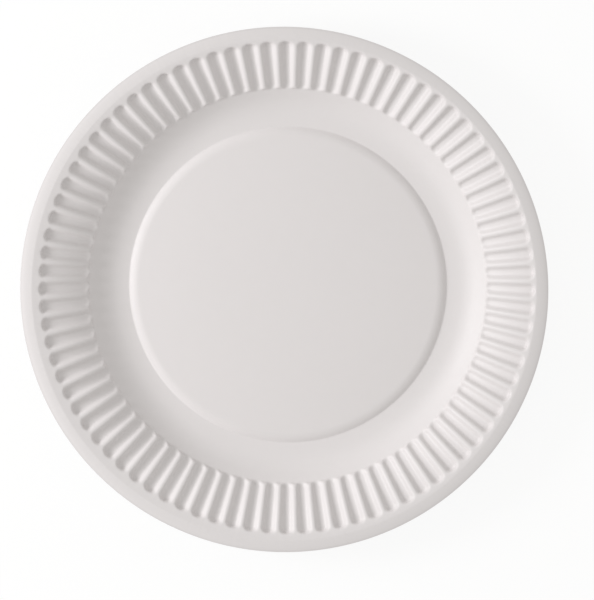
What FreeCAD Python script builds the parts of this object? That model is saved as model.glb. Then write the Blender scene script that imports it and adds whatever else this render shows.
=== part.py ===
import FreeCAD, Part
import math
import os

# A pressed paper plate: a raised disc, a foot ring, a rising wall with flutes pressed into it, and a lip that
# turns down. The origin is the centre of the cut edge on the table, and +Z is up. The flutes and the wall are
# flat facets, one to each flute and each ridge, and the disc, crest and lip are round.

# Driving dimensions, in millimetres and degrees
SIZES = [
    ("board_thickness", 0.45, "paperboard"),
    ("disc_radius", 65.9, "flat top of the raised disc"),
    ("disc_rise", 1.2, "disc top above the foot ring's top"),
    ("shoulder_width", 2.0, "soft edge of the disc"),
    ("shoulder_angle", 9.0, "fall of the soft edge"),
    ("bevel_width", 2.1, "steeper fall down to the crease"),
    ("foot_width", 1.2, "flat ring that the plate rests on"),
    ("turn_angle", 8.0, "start of the hollow turn from the foot into the wall"),
    ("turn_radius", 28.5, "bend of that turn"),
    ("wall_angle", 35.0, "steepest part of the wall"),
    ("wall_width", 2.5, "plain wall between the turn and the flutes"),
    ("crown_radius", 93.0, "rounding of the wall along the flutes"),
    ("ledge_angle", 19.0, "wall at the flutes' outer ends"),
    ("rim_radius", 8.0, "rounding over the rim"),
    ("crest_angle", 6.0, "slope either side of the crest's flat ring"),
    ("lip_angle", 24.0, "fall of the lip at the cut edge"),
    ("flute_count", 84, "flutes round the wall"),
    ("flute_depth", 1.3, "from a ridge down to a groove"),
    ("groove_mouth", 4.6, "groove between two ridges"),
    ("groove_floor", 1.5, "flat floor of a groove"),
    ("inner_run", 1.6, "length of a flute's inner end"),
    ("outer_run", 1.4, "length of a flute's outer end"),
    ("press_shift_x", 1.15, "pressed form from the centre of the cut edge"),
    ("press_shift_y", 0.8, "pressed form from the centre of the cut edge"),
]

# An arc of the section is drawn as a few chords
TURN_CHORDS = 3
CROWN_CHORDS = 3

AXIS = FreeCAD.Vector(0, 0, 1)
ORIGIN = FreeCAD.Vector(0, 0, 0)


def make_sheet(doc):
    """The spreadsheet that holds the driving dimensions."""
    sheet = doc.addObject("Spreadsheet::Sheet", "Sizes")
    for row, (alias, value, note) in enumerate(SIZES, start=1):
        sheet.set("A%d" % row, alias)
        sheet.set("B%d" % row, str(value))
        sheet.set("C%d" % row, note)
        sheet.setAlias("B%d" % row, alias)
    doc.recompute()
    return sheet


doc = FreeCAD.newDocument("PaperPlate")
sheet = make_sheet(doc)
board = float(sheet.board_thickness)
depth = float(sheet.flute_depth)
mouth = float(sheet.groove_mouth) / 2
floor = float(sheet.groove_floor) / 2
count = int(sheet.flute_count)
pitch = 360.0 / count


def along(point, width, slope):
    """The section point a width further out on a straight stretch that rises by slope degrees."""
    return (point[0] + width, point[1] + width * math.tan(math.radians(slope)))


def slide(point, distance, slope):
    """The section point moved a distance up a slope in degrees."""
    return along(point, distance * math.cos(math.radians(slope)), slope)


def slope_of(start, finish):
    """The slope in degrees of the stretch between two section points."""
    return math.degrees(math.atan2(finish[1] - start[1], finish[0] - start[0]))


def chords(start, radius, slope_in, slope_out, pieces):
    """Points of an arc that leaves start. It is hollow where the slope grows and round where it falls."""
    bend = 1.0 if slope_out > slope_in else -1.0
    first = math.radians(slope_in)
    last = math.radians(slope_out)
    points = []
    for i in range(1, pieces + 1):
        angle = first + (last - first) * i / pieces
        out = start[0] + bend * radius * (math.sin(angle) - math.sin(first))
        rise = start[1] + bend * radius * (math.cos(first) - math.cos(angle))
        points.append((out, rise))
    return points


def offset(line, distance):
    """The section line moved a distance down from its own stretches, with mitred corners."""
    moved = []
    for i, (out, rise) in enumerate(line):
        slope_in = math.radians(slope_of(line[max(i - 1, 0)], line[max(i, 1)]))
        slope_out = math.radians(slope_of(line[min(i, len(line) - 2)], line[min(i + 1, len(line) - 1)]))
        middle = (slope_in + slope_out) / 2
        reach = distance / math.cos((slope_in - slope_out) / 2)
        moved.append((out + reach * math.sin(middle), rise - reach * math.cos(middle)))
    return moved


# Top line of the section as (radius, height), from the axis to beyond the lip
wall_angle = float(sheet.wall_angle)
ledge_angle = float(sheet.ledge_angle)
crest_angle = float(sheet.crest_angle)
disc_centre = (0.0, board + float(sheet.disc_rise))
disc_edge = along(disc_centre, float(sheet.disc_radius), 0.0)
shoulder = along(disc_edge, float(sheet.shoulder_width), -float(sheet.shoulder_angle))
crease = (shoulder[0] + float(sheet.bevel_width), board)
foot_edge = along(crease, float(sheet.foot_width), 0.0)
turn = chords(foot_edge, float(sheet.turn_radius), float(sheet.turn_angle), wall_angle, TURN_CHORDS)
flute_start = along(turn[-1], float(sheet.wall_width), wall_angle)
crown = chords(flute_start, float(sheet.crown_radius), wall_angle, ledge_angle, CROWN_CHORDS)
flute_end = crown[-1]
rim_radius = float(sheet.rim_radius)
crest_start = chords(flute_end, rim_radius, ledge_angle, crest_angle, 1)[0]
crest_end = chords(crest_start, rim_radius, crest_angle, -crest_angle, 1)[0]
lip = chords(crest_end, rim_radius, -crest_angle, -float(sheet.lip_angle), 1)[0]
edge_radius = lip[0]

# The press stood off the blank's centre, so the lip is made wider all round and then cut
shift = FreeCAD.Vector(float(sheet.press_shift_x), float(sheet.press_shift_y), 0)
lip_end = along(lip, 2 * shift.Length, slope_of(crest_end, lip))

disc_line = [disc_centre, disc_edge, shoulder, crease]
wall_line = [foot_edge] + turn + [flute_start]
rim_line = [flute_end, crest_start]
lip_line = [crest_end, lip_end]
top_line = disc_line + wall_line + crown[:-1] + rim_line + lip_line
under_line = offset(top_line, board)

# A groove's ridges and floor. The rib under a groove is wider and longer than the groove, by what keeps the
# board's thickness round a bend.
first_angle = slope_of(flute_start, crown[0])
last_angle = slope_of(crown[-2], flute_end)
ridge_first = slide(flute_start, float(sheet.inner_run), first_angle)
ridge_last = slide(flute_end, -float(sheet.outer_run), last_angle)
ridge_line = [ridge_first] + crown[:-1] + [ridge_last]
floor_line = offset(ridge_line, depth)
rib_spread = board * math.tan(math.atan2(depth, mouth - floor) / 2)
inner_spread = board * math.tan(math.atan2(depth, float(sheet.inner_run)) / 2)
outer_spread = board * math.tan(math.atan2(depth, float(sheet.outer_run)) / 2)


def lengthened(line):
    """A line of the rib, made longer than the groove at both ends."""
    start = slide(line[0], -inner_spread, first_angle)
    finish = slide(line[-1], outer_spread, last_angle)
    return [start] + line[1:-1] + [finish]


under_ridge_line = lengthened(offset(ridge_line, board))
under_floor_line = lengthened(offset(ridge_line, board + depth))


def at(point, across=0.0, turned=0.0):
    """A section point in space, set across the flute and turned round the axis."""
    return FreeCAD.Rotation(AXIS, turned).multVec(FreeCAD.Vector(point[0], across, point[1]))


def facet(corners):
    """A flat face."""
    return Part.Face(Part.makePolygon(corners + [corners[0]]))


def flute_facets(inner, ridge, bottom, outer, half_mouth, half_floor):
    """One groove along +X and the ridge beside it.

    The groove closes to a point at the inner and outer section points.
    """
    facets = []
    for i in range(len(ridge) - 1):
        facets.append(facet([at(bottom[i], -half_floor), at(bottom[i], half_floor),
                             at(bottom[i + 1], half_floor), at(bottom[i + 1], -half_floor)]))
        facets.append(facet([at(ridge[i], half_mouth), at(ridge[i], -half_mouth, pitch),
                             at(ridge[i + 1], -half_mouth, pitch), at(ridge[i + 1], half_mouth)]))
        for side in (-1, 1):
            facets.append(facet([at(bottom[i], side * half_floor), at(ridge[i], side * half_mouth),
                                 at(ridge[i + 1], side * half_mouth), at(bottom[i + 1], side * half_floor)]))
    for tip, end in ((inner, 0), (outer, -1)):
        facets.append(facet([at(tip), at(bottom[end], -half_floor), at(bottom[end], half_floor)]))
        facets.append(facet([at(tip), at(ridge[end], half_mouth), at(ridge[end], -half_mouth, pitch),
                             at(tip, 0.0, pitch)]))
        for side in (-1, 1):
            facets.append(facet([at(tip), at(bottom[end], side * half_floor),
                                 at(ridge[end], side * half_mouth)]))
    return facets


def wall_facets(line):
    """The plain facets of one flute's share of the wall."""
    return [facet([at(a), at(a, 0.0, pitch), at(b, 0.0, pitch), at(b)]) for a, b in zip(line, line[1:])]


def round_bands(line):
    """The cones that a section line makes round the axis."""
    return [Part.makeLine(at(a), at(b)).revolve(ORIGIN, AXIS, 360).Faces[0] for a, b in zip(line, line[1:])]


def circle(point):
    """The closed wire that a section point makes round the axis."""
    return Part.Wire(Part.makeCircle(point[0], FreeCAD.Vector(0, 0, point[1]), AXIS))


def ring_of_facets(point):
    """The closed wire through a section point's places at every groove."""
    return Part.makePolygon([at(point, 0.0, i * pitch) for i in range(count)] + [at(point)])


def round_copies(facets):
    """One flute's facets, repeated round the axis."""
    one = Part.makeCompound(facets)
    copies = []
    for i in range(count):
        copy = one.copy()
        copy.rotate(ORIGIN, AXIS, i * pitch)
        copies.extend(copy.Faces)
    return copies


def side_of_board(line, wall, rim, flute):
    """All faces of one side of the board but the lip's: disc, bevel, foot, wall, flutes, rim and crest."""
    disc = Part.Face(circle(line[1]))
    foot_ring = Part.Face(ring_of_facets(wall[0])).cut(Part.Face(circle(line[3]))).Faces[0]
    crest_ring = Part.Face(circle(line[-2])).cut(Part.Face(ring_of_facets(rim[-1]))).Faces[0]
    repeated = wall_facets(wall) + flute + wall_facets(rim)
    return [disc, foot_ring, crest_ring] + round_bands(line[1:4]) + round_copies(repeated)


wall_at = len(disc_line)
flutes_at = wall_at + len(wall_line)
rim_at = len(top_line) - len(lip_line) - len(rim_line)
under_wall = under_line[wall_at:flutes_at - 1]
under_wall.append(slide(under_line[flutes_at - 1], -inner_spread, wall_angle))
rim_angle = slope_of(flute_end, crest_start)
under_rim = [slide(under_line[rim_at], outer_spread, rim_angle), under_line[rim_at + 1]]
top_flute = flute_facets(wall_line[-1], ridge_line, floor_line, rim_line[0], mouth, floor)
under_flute = flute_facets(under_wall[-1], under_ridge_line, under_floor_line, under_rim[0],
                           mouth + rib_spread, floor + rib_spread)
faces = side_of_board(top_line, wall_line, rim_line, top_flute)
faces += side_of_board(under_line, under_wall, under_rim, under_flute)

# The lip and its cut edge
blank = Part.makeCylinder(edge_radius, 2 * lip_end[1], -shift)
lip_ring = facet([at(top_line[-2]), at(top_line[-1]), at(under_line[-1]), at(under_line[-2])])
lip_ring = lip_ring.revolve(ORIGIN, AXIS, 360)
faces += round_bands(top_line[-2:])[0].common(blank).Faces
faces += round_bands(under_line[-2:])[0].common(blank).Faces
blank_edge = [face for face in blank.Faces if face.Surface.TypeId == "Part::GeomCylinder"][0]
faces += blank_edge.common(lip_ring).Faces

skin = Part.makeCompound(faces)
skin.sewShape()
shell = skin.Shells[0]
if Part.Solid(shell).Volume < 0:
    shell = shell.reversed()
plate = doc.addObject("Part::Feature", "Plate")
plate.Label = "plate"
plate.Shape = Part.Solid(shell)
plate.Placement = FreeCAD.Placement(shift, FreeCAD.Rotation())
doc.recompute()


def check(piece):
    """Stops the macro where a piece has failed."""
    if any(word in piece.State for word in ("Invalid", "Error")):
        raise RuntimeError(piece.Label + " has failed")
    if piece.Shape.isNull() or not piece.Shape.isValid() or len(piece.Shape.Solids) != 1:
        raise RuntimeError(piece.Label + " is not one valid solid")
    if piece.Shape.Volume <= 0:
        raise RuntimeError(piece.Label + " is inside out")


os.makedirs("parts", exist_ok=True)
for piece in [plate]:
    check(piece)
for piece in [plate]:
    piece.Shape.exportStep("parts/" + piece.Label + ".step")
print("plate", round(2 * edge_radius, 3), "mm across,", round(crest_start[1], 3), "mm high,",
      round(plate.Shape.Volume / 1000, 3), "cubic centimetres")
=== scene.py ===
import math

import bpy
import numpy as np
from mathutils import Matrix, Vector


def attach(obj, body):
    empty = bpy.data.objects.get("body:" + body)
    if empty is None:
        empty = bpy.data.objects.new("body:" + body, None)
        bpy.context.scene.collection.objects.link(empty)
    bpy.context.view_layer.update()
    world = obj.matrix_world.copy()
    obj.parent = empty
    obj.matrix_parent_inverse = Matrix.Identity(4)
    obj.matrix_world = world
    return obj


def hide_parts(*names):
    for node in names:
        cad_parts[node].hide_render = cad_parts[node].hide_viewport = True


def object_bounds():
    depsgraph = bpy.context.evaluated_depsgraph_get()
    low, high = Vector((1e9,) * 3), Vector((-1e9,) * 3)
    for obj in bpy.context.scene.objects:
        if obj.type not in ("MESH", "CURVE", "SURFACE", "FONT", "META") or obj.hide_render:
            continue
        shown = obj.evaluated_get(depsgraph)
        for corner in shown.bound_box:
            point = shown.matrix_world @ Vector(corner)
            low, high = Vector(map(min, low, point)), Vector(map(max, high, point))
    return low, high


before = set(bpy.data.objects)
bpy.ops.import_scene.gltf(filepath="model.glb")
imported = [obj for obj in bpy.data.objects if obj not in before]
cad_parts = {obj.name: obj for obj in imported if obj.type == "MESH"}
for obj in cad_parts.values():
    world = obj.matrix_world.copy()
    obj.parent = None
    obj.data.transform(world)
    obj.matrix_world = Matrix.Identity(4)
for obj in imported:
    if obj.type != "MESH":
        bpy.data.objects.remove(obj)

cad_low, cad_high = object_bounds()

# The board, its cut edge, and how far the press stood off the cut edge's centre, in metres

MM = 0.001
BOARD = 0.45 * MM
EDGE_RADIUS = 114.95 * MM
PRESS_SHIFT = (1.15 * MM, 0.8 * MM)

# The pan from its centre out: raised disc, foot, hollow, turn and plain wall, with slopes in degrees

DISC_RADIUS = 65.25 * MM
DISC_RISE = 1.45 * MM
SHOULDER_SLOPE = 35.0
FOOT_WIDTH = 0.3 * MM
HOLLOW_SLOPE = 10.0
HOLLOW_WIDTH = 4.8 * MM
TURN_BEND = 20.0 * MM
WALL_SLOPE = 37.0
WALL_WIDTH = 2.8 * MM

# The crown that the flutes are pressed into, and the rim outside it: shelf, crest and lip

FLUTE_SLOPE = 40.0
LEDGE_SLOPE = 16.0
CROWN_BEND = 60.43 * MM
SHELF_SLOPE = 12.0
CREST_HEIGHT = 19.2 * MM
CREST_INSET = 4.75 * MM
CREST_CORNER = 0.5 * MM
LIP_SLOPE = 13.0

# The flutes: depth and ridges at their ends, the lengths of the ends, and how flat floors and ridges are

FLUTES = 84
INNER_DEPTH = 1.5 * MM
OUTER_DEPTH = 2.3 * MM
RIDGE_LIFT = 1.15 * MM
INNER_END = 3.4 * MM
OUTER_END = 2.9 * MM
FLOOR_FLATNESS = 3.0
RIDGE_FLATNESS = 2.0

# Columns of points round the plate, and rows of points along its section

PLAIN_COLUMNS = FLUTES * 5
FLUTE_COLUMNS = FLUTES * 15
DISC_ROWS = 2
BEND_ROWS = 8
FLUTE_ROWS = 28
END_CROWDING = 0.5
LIP_ROWS = 8

# Rows on the crest's corner, as shares of its width, and the most of the shelf that the corner takes

CORNER_ROWS = ((1.0,), (0.67,), (0.33,))
CORNER_SHARE = 0.8


class Section:
    """A stretch of the board's top line from the middle out, as rows of radius, height and slope."""

    def __init__(self, radius, height, slope):
        self.radius = np.array([radius])
        self.height = np.array([height])
        self.slope = np.array([math.radians(slope)])

    def add(self, radius, height, slope):
        self.radius = np.append(self.radius, radius)
        self.height = np.append(self.height, height)
        self.slope = np.append(self.slope, slope)

    def straight(self, width, slope, rows):
        """A stretch whose height grows by tan(slope) times its width."""
        part = np.linspace(0.0, width, rows + 1)[1:]
        angle = math.radians(slope)
        self.add(self.radius[-1] + part, self.height[-1] + part * math.tan(angle), np.full(rows, angle))

    def arc(self, bend, slope_in, slope_out, rows, crowding=0.0):
        """A stretch whose slope a goes from a0 to a1 at the bend radius R.

        radius = r0 + s R (sin a - sin a0) and height = z0 + s R (cos a0 - cos a), where s is 1 on a hollow
        arc, whose slope grows, and -1 on a round one. Crowding draws the rows together at both ends.
        """
        first = math.radians(slope_in)
        last = math.radians(slope_out)
        share = np.linspace(0.0, 1.0, rows + 1)[1:]
        share = share - crowding * np.sin(2.0 * math.pi * share) / (2.0 * math.pi)
        angle = first + (last - first) * share
        signed = math.copysign(bend, last - first)
        self.add(self.radius[-1] + signed * (np.sin(angle) - math.sin(first)),
                 self.height[-1] + signed * (math.cos(first) - np.cos(angle)), angle)

    def rows(self, start=0):
        """Radius, height and slope from the row start on, as columns that meet a row of angles in a grid."""
        return self.radius[start:, None], self.height[start:, None], self.slope[start:, None]


def angles(columns):
    """A row of angles round the axis, the first at the middle of a groove."""
    return np.arange(columns)[None, :] * (2.0 * math.pi / columns)


def spin(radius, height, angle):
    """Points at radius and height, turned round the axis by angle, as an array of rows, columns and xyz."""
    radius, height, angle = np.broadcast_arrays(radius, height, angle)
    return np.stack([radius * np.cos(angle), radius * np.sin(angle), height], axis=-1)


def upward(slope, angle):
    """Unit normals of a plain stretch: (-sin a cos t, -sin a sin t, cos a) at slope a and angle t."""
    return spin(-np.sin(slope), np.cos(slope), angle)


def grid_normals(points):
    """Unit normals of a grid that closes on itself round the axis, from its steps along and round."""
    along = np.gradient(points, axis=0)
    round_axis = np.roll(points, -1, axis=1) - np.roll(points, 1, axis=1)
    normal = np.cross(along, round_axis)
    return normal / np.linalg.norm(normal, axis=-1, keepdims=True)


def groove_cut(reach):
    """The share of a groove's depth at a reach q from its middle line: (1 - q)^b / (q^a + (1 - q)^b).

    It is 1 on the middle line, where q is 0, and 0 on the ridge, where q is 1 and more. The powers a and b
    say how flat the groove's floor and the ridge are.
    """
    reach = np.clip(reach, 0.0, 1.0)
    falling = (1.0 - reach) ** RIDGE_FLATNESS
    return falling / (reach ** FLOOR_FLATNESS + falling)


def flute_relief(run, angle):
    """How far the flutes stand above the plain crown, at a run along it and an angle round the axis.

    The run goes from 0 to the crown's whole length. The crown steps up at the flutes' inner ends, and the
    step dies away outward. Grooves are cut into it. Their middle lines stop short of both ends, so that they
    close round: the reach is the distance from a middle line, as a share of half the pitch across it and of
    the end's length along it.
    """
    half = math.pi / FLUTES
    across = ((angle + half) % (2.0 * half) - half) / half
    length = run[-1]
    inner = np.maximum(0.0, (INNER_END - run) / INNER_END)
    outer = np.maximum(0.0, (OUTER_END - (length - run)) / OUTER_END)
    depth = INNER_DEPTH + (OUTER_DEPTH - INNER_DEPTH) * run / length
    lift = RIDGE_LIFT * (1.0 - run / length) * groove_cut(inner)
    return lift - depth * groove_cut(np.hypot(across, np.maximum(inner, outer)))


def edge_distance(angle):
    """Distance from the press's axis to the cut edge, -u.s + sqrt((u.s)^2 + R^2 - s.s).

    The direction is u, the press stands off the edge's centre by s, and the edge's radius is R.
    """
    shift_along = PRESS_SHIFT[0] * np.cos(angle) + PRESS_SHIFT[1] * np.sin(angle)
    shift_squared = PRESS_SHIFT[0] ** 2 + PRESS_SHIFT[1] ** 2
    return -shift_along + np.sqrt(shift_along ** 2 + EDGE_RADIUS ** 2 - shift_squared)


def rim_drop(inset):
    """How far the rim lies below its crest at a distance in from the cut edge, and its slope in radians.

    Outside the crest the lip's slope grows as the square of the way x to the cut edge, and is t at its whole
    length L, so that the drop is t x^3 / 3L^2. Inside, the slope grows evenly to the shelf's s over a corner
    of width w, so that the drop is s x^2 / 2w, and s (x - w / 2) beyond it.
    """
    outward = np.clip(CREST_INSET - inset, 0.0, None)
    inward = np.clip(inset - CREST_INSET, 0.0, None)
    corner = np.minimum(inward, CREST_CORNER)
    shelf = math.tan(math.radians(SHELF_SLOPE))
    lip = math.tan(math.radians(LIP_SLOPE))
    inner_drop = shelf * (corner ** 2 / (2.0 * CREST_CORNER) + inward - corner)
    outer_drop = lip * outward ** 3 / (3.0 * CREST_INSET ** 2)
    slope = np.arctan(shelf * corner / CREST_CORNER) - np.arctan(lip * (outward / CREST_INSET) ** 2)
    return inner_drop + outer_drop, slope


def press_pan():
    """The section line from the centre to the flutes, and the grid that it makes spun round the axis."""
    line = Section(0.0, BOARD + DISC_RISE, 0.0)
    line.straight(DISC_RADIUS, 0.0, DISC_ROWS)
    line.arc(DISC_RISE / (1.0 - math.cos(math.radians(SHOULDER_SLOPE))), 0.0, -SHOULDER_SLOPE, BEND_ROWS)
    line.straight(FOOT_WIDTH, 0.0, 1)
    line.straight(HOLLOW_WIDTH, HOLLOW_SLOPE, 1)
    line.arc(TURN_BEND, HOLLOW_SLOPE, WALL_SLOPE, BEND_ROWS)
    line.straight(WALL_WIDTH, WALL_SLOPE, 1)
    plain = angles(PLAIN_COLUMNS)
    radius, height, slope = line.rows(start=1)
    return line, (spin(radius, height, plain), upward(slope, plain))


def press_flutes(start_radius, start_height):
    """The radius where the flutes end, and the grid of the crown that carries them.

    The crown's height is drawn to the rim's by the square of the way along it, so that the crest is level
    though the rim is wider on one side. The flutes stand off the crown along the normal of its arc.
    """
    line = Section(start_radius, start_height, FLUTE_SLOPE)
    line.arc(CROWN_BEND, FLUTE_SLOPE, LEDGE_SLOPE, FLUTE_ROWS, crowding=END_CROWDING)
    fluted = angles(FLUTE_COLUMNS)
    radius, height, slope = line.rows()
    run = CROWN_BEND * (math.radians(FLUTE_SLOPE) - slope)
    rim_height = CREST_HEIGHT - rim_drop(edge_distance(fluted) - radius[-1])[0]
    height = height + (rim_height - height[-1]) * (run / run[-1]) ** 2
    relief = flute_relief(run, fluted)
    points = spin(radius - relief * np.sin(slope), height + relief * np.cos(slope), fluted)
    return line.radius[-1], (points[1:], grid_normals(points)[1:])


def press_rim(flute_end):
    """The grid of the rim: a row halfway along the shelf, the crest's corner, and the lip to the cut edge."""
    plain = angles(PLAIN_COLUMNS)
    edge = edge_distance(plain)
    shelf = edge - flute_end - CREST_INSET
    corner = np.minimum(CREST_CORNER, CORNER_SHARE * shelf)
    lip = CREST_INSET * np.linspace(1.0, 0.0, LIP_ROWS + 1)[:, None]
    inset = np.concatenate([CREST_INSET + 0.5 * (shelf + corner),
                            CREST_INSET + corner * np.array(CORNER_ROWS),
                            np.broadcast_to(lip, (LIP_ROWS + 1, PLAIN_COLUMNS))])
    drop, slope = rim_drop(inset)
    return spin(edge - inset, CREST_HEIGHT - drop, plain), upward(slope, plain)


def ring_starts(zones):
    """The first vertex and the columns of each ring, from the middle out, and the count of all vertices."""
    columns = np.concatenate([np.full(points.shape[0], points.shape[1]) for points, normals in zones])
    starts = np.concatenate([[0], np.cumsum(columns)])
    return list(zip(starts[:-1].tolist(), columns.tolist())), int(starts[-1])


def ring_faces(inner, outer, inner_columns, outer_columns):
    """Triangles between two rings of vertices that start at the numbers inner and outer.

    Where one ring has a few times the other's columns, each vertex of the coarse ring fans out to the fine
    ring's vertices nearest to it, and one more triangle joins it to the next fan.
    """
    if inner_columns == outer_columns:
        here = np.arange(inner_columns)
        after = (here + 1) % inner_columns
        first = np.stack([inner + here, outer + here, outer + after], axis=-1)
        second = np.stack([inner + here, outer + after, inner + after], axis=-1)
        return np.concatenate([first, second])
    if inner_columns > outer_columns:
        return ring_faces(outer, inner, outer_columns, inner_columns)[:, ::-1]
    ratio = outer_columns // inner_columns
    fine = np.arange(outer_columns)
    coarse = ((fine + ratio // 2) // ratio) % inner_columns
    fans = np.stack([inner + coarse, outer + fine, outer + (fine + 1) % outer_columns], axis=-1)
    steps = np.arange(inner_columns)
    turning = outer + (steps * ratio + (ratio + 1) // 2) % outer_columns
    joins = np.stack([inner + steps, turning, inner + (steps + 1) % inner_columns], axis=-1)
    return np.concatenate([fans, joins])


def board_faces(rings, count):
    """Triangles of the whole board, whose top has the vertices from 0, its underside those from count on.

    The two centres come last. The underside has the top's triangles turned over.
    """
    side = np.concatenate([ring_faces(inner, outer, inner_columns, outer_columns)
                           for (inner, inner_columns), (outer, outer_columns) in zip(rings, rings[1:])])
    here = np.arange(PLAIN_COLUMNS)
    after = (here + 1) % PLAIN_COLUMNS
    centre = 2 * count
    hub = np.stack([np.full(PLAIN_COLUMNS, centre), here, after], axis=-1)
    under_hub = np.stack([np.full(PLAIN_COLUMNS, centre + 1), count + after, count + here], axis=-1)
    edge_ring = rings[-1][0]
    cut = ring_faces(edge_ring, count + edge_ring, PLAIN_COLUMNS, PLAIN_COLUMNS)
    return np.concatenate([side, side[:, ::-1] + count, hub, under_hub, cut])


def smooth_but_for_the_cut(mesh, edge_ring, count):
    """Smooth shading all over, with sharp edges where the top and the underside meet the cut edge."""
    mesh.polygons.foreach_set("use_smooth", np.ones(len(mesh.polygons), dtype=bool))
    ends = np.empty(2 * len(mesh.edges), dtype=np.int64)
    mesh.edges.foreach_get("vertices", ends)
    ends = ends.reshape(-1, 2)
    on_top = ((ends >= edge_ring) & (ends < count)).all(axis=1)
    on_underside = ((ends >= count + edge_ring) & (ends < 2 * count)).all(axis=1)
    sharp = mesh.attributes.new("sharp_edge", "BOOLEAN", "EDGE")
    sharp.data.foreach_set("value", on_top | on_underside)


def build_plate():
    """The board as one closed mesh: its top, its underside a board's thickness below, and the cut edge."""
    pan_line, pan = press_pan()
    flute_end, flutes = press_flutes(pan_line.radius[-1], pan_line.height[-1])
    zones = [pan, flutes, press_rim(flute_end)]
    top = np.concatenate([points.reshape(-1, 3) for points, normals in zones])
    below = np.concatenate([(points - BOARD * normals).reshape(-1, 3) for points, normals in zones])
    centre_height = pan_line.height[0]
    centres = np.array([[0.0, 0.0, centre_height], [0.0, 0.0, centre_height - BOARD]])
    vertices = np.concatenate([top, below, centres]) + np.array([PRESS_SHIFT[0], PRESS_SHIFT[1], 0.0])

    rings, count = ring_starts(zones)
    mesh = bpy.data.meshes.new("pressed_plate")
    mesh.from_pydata(vertices.tolist(), [], board_faces(rings, count).tolist())
    smooth_but_for_the_cut(mesh, rings[-1][0], count)
    mesh.validate()
    mesh.update()
    plate = bpy.data.objects.new("pressed_plate", mesh)
    bpy.context.scene.collection.objects.link(plate)
    return plate


def new_material(name):
    """A material with its node tree and its Principled shader."""
    material = bpy.data.materials.new(name)
    material.use_nodes = True
    tree = material.node_tree
    return material, tree, tree.nodes["Principled BSDF"]


def maths(tree, first, operation, second, kind="ShaderNodeMath"):
    """The result of a math node with sockets or numbers on its two inputs."""
    node = tree.nodes.new(kind)
    node.operation = operation
    for socket, value in ((node.inputs[0], first), (node.inputs[1], second)):
        if isinstance(value, bpy.types.NodeSocket):
            tree.links.new(value, socket)
        else:
            socket.default_value = value
    return node.outputs["Value"] if operation == "LENGTH" else node.outputs[0]


def vector_maths(tree, first, operation, second=(0.0, 0.0, 0.0)):
    """The result of a vector math node, which needs no second input for a length or a direction."""
    return maths(tree, first, operation, second, kind="ShaderNodeVectorMath")


def noise(tree, coordinates, size, detail, label):
    """Noise whose lumps are about size metres across."""
    node = tree.nodes.new("ShaderNodeTexNoise")
    node.label = label
    node.inputs["Scale"].default_value = 1.0 / size
    node.inputs["Detail"].default_value = detail
    tree.links.new(coordinates, node.inputs["Vector"])
    return node.outputs["Fac"]


def spread(tree, value, from_range, to_range):
    """A value taken from one range to another, and held at its ends."""
    node = tree.nodes.new("ShaderNodeMapRange")
    tree.links.new(value, node.inputs["Value"])
    node.inputs["From Min"].default_value, node.inputs["From Max"].default_value = from_range
    node.inputs["To Min"].default_value, node.inputs["To Max"].default_value = to_range
    return node.outputs["Result"]


def bump(tree, height, distance, strength, normal=None):
    """A bump of so many metres, laid over another one where there is one."""
    node = tree.nodes.new("ShaderNodeBump")
    node.inputs["Distance"].default_value = distance
    node.inputs["Strength"].default_value = strength
    tree.links.new(height, node.inputs["Height"])
    if normal is not None:
        tree.links.new(normal, node.inputs["Normal"])
    return node.outputs["Normal"]


# The paper's tone, the painted shade that darkens the rim, and how much darker the cut edge is

PAPER_LIGHT = (0.732, 0.699, 0.694, 1.0)
PAPER_DARK = (0.720, 0.687, 0.682, 1.0)
# Painted shade: over this band the rim's paper is drawn darker by this share
RIM_PAINTED_SHADE_BAND = (105.0 * MM, 109.0 * MM)
RIM_PAINTED_SHADE = 0.97
CUT_BAND = (EDGE_RADIUS - 1.0 * MM, EDGE_RADIUS - 0.4 * MM)
CUT_TONE = 0.94

# The paper's grain: sizes and detail of its lumps, and how deep and strong its bumps are

CLOUD_SIZE = 5.0 * MM
CLOUD_DETAIL = 3.0
SHEEN_SIZE = 1.2 * MM
SHEEN_DETAIL = 2.0
SHEEN_NOISE = (0.3, 0.7)
ROUGHNESS = (0.48, 0.56)
FIBRE_SIZE = 0.3 * MM
FIBRE_DETAIL = 4.0
FIBRE_DEPTH = 0.02 * MM
FIBRE_STRENGTH = 0.25
GATHER_SIZE = 1.4 * MM
GATHER_DETAIL = 2.0
GATHER_LENGTHWISE = 0.12
GATHER_BAND = (83.0 * MM, 90.0 * MM)
GATHER_DEPTH = 0.12 * MM
GATHER_STRENGTH = 0.5


def paper_colour(tree, place, from_edge_centre):
    """A cloudy tone, with painted shade that makes the rim a little darker, and darker again at the cut edge.
    """
    tone = tree.nodes.new("ShaderNodeMix")
    tone.data_type = "RGBA"
    tone.inputs["A"].default_value = PAPER_DARK
    tone.inputs["B"].default_value = PAPER_LIGHT
    tree.links.new(noise(tree, place, CLOUD_SIZE, CLOUD_DETAIL, "formation"), tone.inputs["Factor"])
    reach = vector_maths(tree, from_edge_centre, "LENGTH")
    # Painted shade on the rim, times the cut edge's darker tone
    rim = spread(tree, reach, RIM_PAINTED_SHADE_BAND, (1.0, RIM_PAINTED_SHADE))
    cut = spread(tree, reach, CUT_BAND, (1.0, CUT_TONE))
    rim_shade_and_cut_tone = maths(tree, rim, "MULTIPLY", cut)
    return vector_maths(tree, tone.outputs["Result"], "MULTIPLY", rim_shade_and_cut_tone)


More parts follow.
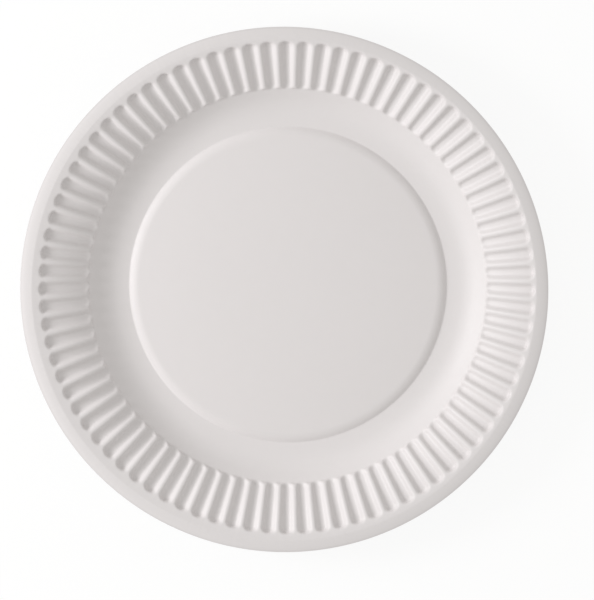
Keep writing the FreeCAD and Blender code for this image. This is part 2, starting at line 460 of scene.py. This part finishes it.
def paper_gathers(tree, from_edge_centre):
    """Fine folds that run along the flutes: noise that changes fast round the press's axis, slowly outward."""
    from_axis = vector_maths(tree, from_edge_centre, "SUBTRACT", (PRESS_SHIFT[0], PRESS_SHIFT[1], 0.0))
    distance = vector_maths(tree, from_axis, "LENGTH")
    direction = vector_maths(tree, from_axis, "NORMALIZE")
    direction = vector_maths(tree, direction, "MULTIPLY", (EDGE_RADIUS, EDGE_RADIUS, 0.0))
    lengthwise = tree.nodes.new("ShaderNodeCombineXYZ")
    tree.links.new(maths(tree, distance, "MULTIPLY", GATHER_LENGTHWISE), lengthwise.inputs["Z"])
    radial = vector_maths(tree, direction, "ADD", lengthwise.outputs["Vector"])
    gathers = noise(tree, radial, GATHER_SIZE, GATHER_DETAIL, "gathers")
    return maths(tree, gathers, "MULTIPLY", spread(tree, distance, GATHER_BAND, (0.0, 1.0)))


def paper_material():
    """Uncoated white board: a cloudy tone, a pressed sheen, fine fibres, and gathers made by the press."""
    material, tree, shader = new_material("white_paper_board")
    place = tree.nodes.new("ShaderNodeTexCoord").outputs["Object"]
    from_edge_centre = vector_maths(tree, place, "MULTIPLY", (1.0, 1.0, 0.0))
    tree.links.new(paper_colour(tree, place, from_edge_centre), shader.inputs["Base Color"])
    sheen = noise(tree, place, SHEEN_SIZE, SHEEN_DETAIL, "pressed sheen")
    tree.links.new(spread(tree, sheen, SHEEN_NOISE, ROUGHNESS), shader.inputs["Roughness"])
    fibres = noise(tree, place, FIBRE_SIZE, FIBRE_DETAIL, "fibres")
    relief = bump(tree, fibres, FIBRE_DEPTH, FIBRE_STRENGTH)
    relief = bump(tree, paper_gathers(tree, from_edge_centre), GATHER_DEPTH, GATHER_STRENGTH, relief)
    tree.links.new(relief, shader.inputs["Normal"])
    return material


def seen_directly(tree):
    """1 for the camera's rays and for what they see in a gloss or through glass, and 0 for light."""
    rays = tree.nodes.new("ShaderNodeLightPath").outputs
    seen = maths(tree, rays["Is Camera Ray"], "MAXIMUM", rays["Is Glossy Ray"])
    return maths(tree, seen, "MAXIMUM", rays["Is Transmission Ray"])


# The table, six metres wide, and the share of its look that is plain white

TABLE_SIZE = 6.0
TABLE_COLOUR = (0.93, 0.93, 0.925, 1.0)
TABLE_ROUGHNESS = 0.9
TABLE_GLOSS = 0.1
PLAIN_WHITE = (1.0, 1.0, 0.998, 1.0)
WHITE_SHARE = 0.9


def build_floor():
    """A white table, seen mostly plain white, and for the rest by the light and the shadow on it."""
    bpy.ops.mesh.primitive_plane_add(size=TABLE_SIZE, location=(0.0, 0.0, 0.0))
    floor = bpy.context.object
    floor.name = "floor"
    material, tree, shader = new_material("white_table")
    shader.inputs["Base Color"].default_value = TABLE_COLOUR
    shader.inputs["Roughness"].default_value = TABLE_ROUGHNESS
    shader.inputs["Specular IOR Level"].default_value = TABLE_GLOSS
    white = tree.nodes.new("ShaderNodeEmission")
    white.inputs["Color"].default_value = PLAIN_WHITE
    mix = tree.nodes.new("ShaderNodeMixShader")
    tree.links.new(maths(tree, seen_directly(tree), "MULTIPLY", WHITE_SHARE), mix.inputs["Fac"])
    tree.links.new(shader.outputs["BSDF"], mix.inputs[1])
    tree.links.new(white.outputs["Emission"], mix.inputs[2])
    tree.links.new(mix.outputs["Shader"], tree.nodes["Material Output"].inputs["Surface"])
    floor.data.materials.append(material)


# The light, with the key's power in watts and its angles in degrees

KEY_AZIMUTH = 174.0
KEY_RISE = 30.0
KEY_DISTANCE = 0.9
KEY_SIZE = 0.35
KEY_POWER = 5.42
KEY_COLOUR = (0.98, 0.98, 1.0)
ROOM_COLOUR = (1.0, 1.0, 0.98, 1.0)
ROOM_LIGHT = 0.65
BACKDROP_COLOUR = (1.0, 1.0, 1.0, 1.0)


def build_key_light():
    """A soft round light low on the left."""
    azimuth = math.radians(KEY_AZIMUTH)
    rise = math.radians(KEY_RISE)
    data = bpy.data.lights.new("soft_left", "AREA")
    data.shape = "DISK"
    data.size = KEY_SIZE
    data.energy = KEY_POWER
    data.color = KEY_COLOUR
    light = bpy.data.objects.new("soft_left", data)
    way = Vector((math.cos(rise) * math.cos(azimuth), math.cos(rise) * math.sin(azimuth), math.sin(rise)))
    light.location = way * KEY_DISTANCE
    light.rotation_euler = way.to_track_quat("Z", "Y").to_euler()
    bpy.context.scene.collection.objects.link(light)


def build_room():
    """An even white room around, seen as plain white."""
    world = bpy.data.worlds.new("white_room")
    world.use_nodes = True
    tree = world.node_tree
    room = tree.nodes["Background"]
    room.inputs["Color"].default_value = ROOM_COLOUR
    room.inputs["Strength"].default_value = ROOM_LIGHT
    backdrop = tree.nodes.new("ShaderNodeBackground")
    backdrop.inputs["Color"].default_value = BACKDROP_COLOUR
    mix = tree.nodes.new("ShaderNodeMixShader")
    tree.links.new(seen_directly(tree), mix.inputs["Fac"])
    tree.links.new(room.outputs["Background"], mix.inputs[1])
    tree.links.new(backdrop.outputs["Background"], mix.inputs[2])
    tree.links.new(mix.outputs["Shader"], tree.nodes["World Output"].inputs["Surface"])
    bpy.context.scene.world = world


# Where the plate's edge stands in the photograph, in pixels of its 594 by 600 frame

FRAME_WIDTH = 594.0
FRAME_HEIGHT = 600.0
EDGE_CENTRE_X = 284.25
EDGE_CENTRE_Y = 289.5
EDGE_PIXELS = 264.3

# Where the camera stands, in metres and degrees, and its sensor in millimetres

CAMERA_DISTANCE = 1.6
CAMERA_TILT = 6.5
CAMERA_SIDE = 74.0
SENSOR_WIDTH = 36.0


def build_camera():
    """A camera nearly straight above, leaning to the far side, with the plate where the photograph has it.

    A circle of radius R seen at a slant looks like an ellipse, whose middle lies nearer the camera's side
    than the circle's own by R^2 sin(tilt) / distance, and the camera aims that much further to that side.
    The sensor's width spans the frame's longer side, which is its height.
    """
    pixel = EDGE_RADIUS / EDGE_PIXELS
    tilt = math.radians(CAMERA_TILT)
    side = math.radians(CAMERA_SIDE)
    lean = Vector((math.cos(side), math.sin(side), 0.0))
    back = lean * math.sin(tilt) + Vector((0.0, 0.0, math.cos(tilt)))
    right = Vector((0.0, 1.0, 0.0)).cross(back).normalized()
    up = back.cross(right)
    middle = Vector((0.0, 0.0, cad_high[2])) + lean * (EDGE_RADIUS ** 2 * math.sin(tilt) / CAMERA_DISTANCE)
    aim = middle + right * (FRAME_WIDTH / 2 - EDGE_CENTRE_X) * pixel
    aim = aim + up * (EDGE_CENTRE_Y - FRAME_HEIGHT / 2) * pixel
    data = bpy.data.cameras.new("camera")
    data.sensor_width = SENSOR_WIDTH
    data.lens = SENSOR_WIDTH * CAMERA_DISTANCE / (FRAME_HEIGHT * pixel)
    camera = bpy.data.objects.new("camera", data)
    turn = Matrix((right, up, back)).transposed()
    camera.matrix_world = Matrix.LocRotScale(aim + back * CAMERA_DISTANCE, turn.to_quaternion(), None)
    bpy.context.scene.collection.objects.link(camera)
    bpy.context.scene.camera = camera


plate = build_plate()
plate.data.materials.append(paper_material())
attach(plate, "root")
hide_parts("plate")
build_floor()
build_key_light()
build_room()
build_camera()
bpy.context.scene.view_settings.view_transform = "Standard"
